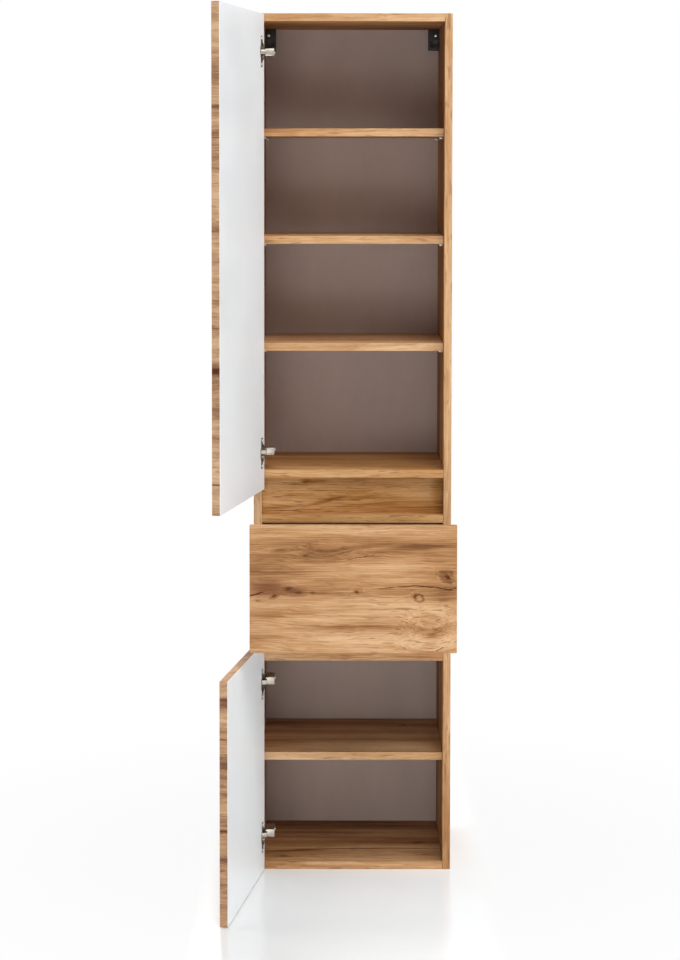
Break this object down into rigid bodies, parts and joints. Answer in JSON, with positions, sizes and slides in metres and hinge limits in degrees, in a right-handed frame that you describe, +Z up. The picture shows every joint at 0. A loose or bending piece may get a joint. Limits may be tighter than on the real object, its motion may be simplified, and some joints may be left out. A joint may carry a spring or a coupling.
{
  "type": "bathroom side cabinet",
  "caption": "Tall narrow bathroom cabinet with a long upper door, a shallow grip niche, a pull-out drawer and a lower door over shelves, all without handles.",
  "frame": {"origin": "middle of the flat underside of the bottom panel, on the floor", "axes": "+X to the right seen from the front, +Y to the wall behind, +Z up"},
  "size_m": [0.4646, 0.7282, 1.74],
  "materials": {
    "oak_decor": "matt wild-oak decor on chipboard",
    "white_melamine": "plain white melamine sheet",
    "white_board": "white melamine-faced chipboard",
    "taupe_board": "light taupe coated fibreboard",
    "beech": "plain beech",
    "nickel": "nickel-plated steel",
    "zinc": "bright zinc-plated steel",
    "runner_steel": "galvanised steel",
    "black_plastic": "black moulded plastic"
  },
  "bodies": {
    "carcass": {"back_panel": "taupe_board", "bottom_panel": "oak_decor", "drawer_divider": "oak_decor", "hanger_screws": "zinc", "hinge_arm_screws": "zinc", "hinge_plate_screws": "zinc", "left_hanger_hook": "zinc", "left_hanger_housing": "black_plastic", "left_runner_cabinet_rail": "runner_steel", "left_side": "oak_decor", "loose_shelf_1": "oak_decor", "loose_shelf_2": "oak_decor", "loose_shelf_3": "oak_decor", "lower_bottom_hinge_arm": "nickel", "lower_bottom_hinge_plate": "nickel", "lower_shelf": "oak_decor", "lower_top_hinge_arm": "nickel", "lower_top_hinge_plate": "nickel", "niche_back": "oak_decor", "niche_floor": "oak_decor", "panel_dowels": "beech", "right_hanger_hook": "zinc", "right_hanger_housing": "black_plastic", "right_runner_cabinet_rail": "runner_steel", "right_side": "oak_decor", "runner_cabinet_screws": "zinc", "shelf_pins": "zinc", "top_panel": "oak_decor", "upper_bottom_hinge_arm": "nickel", "upper_bottom_hinge_plate": "nickel", "upper_floor": "oak_decor", "upper_top_hinge_arm": "nickel", "upper_top_hinge_plate": "nickel"},
    "upper_door": {"upper_bottom_hinge_cup": "nickel", "upper_cup_screws": "zinc", "upper_door_board": "oak_decor", "upper_door_liner": "white_melamine", "upper_hinge_pins": "zinc", "upper_top_hinge_cup": "nickel"},
    "lower_door": {"lower_bottom_hinge_cup": "nickel", "lower_cup_screws": "zinc", "lower_door_board": "oak_decor", "lower_door_liner": "white_melamine", "lower_hinge_pins": "zinc", "lower_top_hinge_cup": "nickel"},
    "drawer": {"drawer_back": "white_board", "drawer_bottom": "white_board", "drawer_front": "oak_decor", "drawer_front_liner": "white_melamine", "drawer_front_screws": "zinc", "drawer_inner_front": "white_board", "drawer_left_side": "white_board", "drawer_right_side": "white_board", "left_runner_drawer_rail": "runner_steel", "right_runner_drawer_rail": "runner_steel", "runner_drawer_screws": "zinc"},
    "runner_middles": {"left_runner_middle_rail": "runner_steel", "right_runner_middle_rail": "runner_steel"}
  },
  "joints": [
    {"name": "upper_door_hinge", "type": "hinge", "parent": "carcass", "child": "upper_door", "pos_m": [-0.1895, -0.178, 1.2595], "axis": [0, 0, 1], "range_deg": [-4.7, 100.3]},
    {"name": "lower_door_hinge", "type": "hinge", "parent": "carcass", "child": "lower_door", "pos_m": [-0.1895, -0.178, 0.2355], "axis": [0, 0, 1], "range_deg": [-6.7, 98.3]},
    {"name": "drawer_slide", "type": "slide", "parent": "carcass", "child": "drawer", "axis": [0, -1, 0], "range_m": [-0.271, 0.014]},
    {"name": "runner_middle_slide", "type": "slide", "parent": "carcass", "child": "runner_middles", "axis": [0, -1, 0], "range_m": [-0.1355, 0.007]}
  ],
  "couplings": [
    {"joint": "runner_middle_slide", "follows": "drawer_slide", "ratio": 0.5}
  ]
}
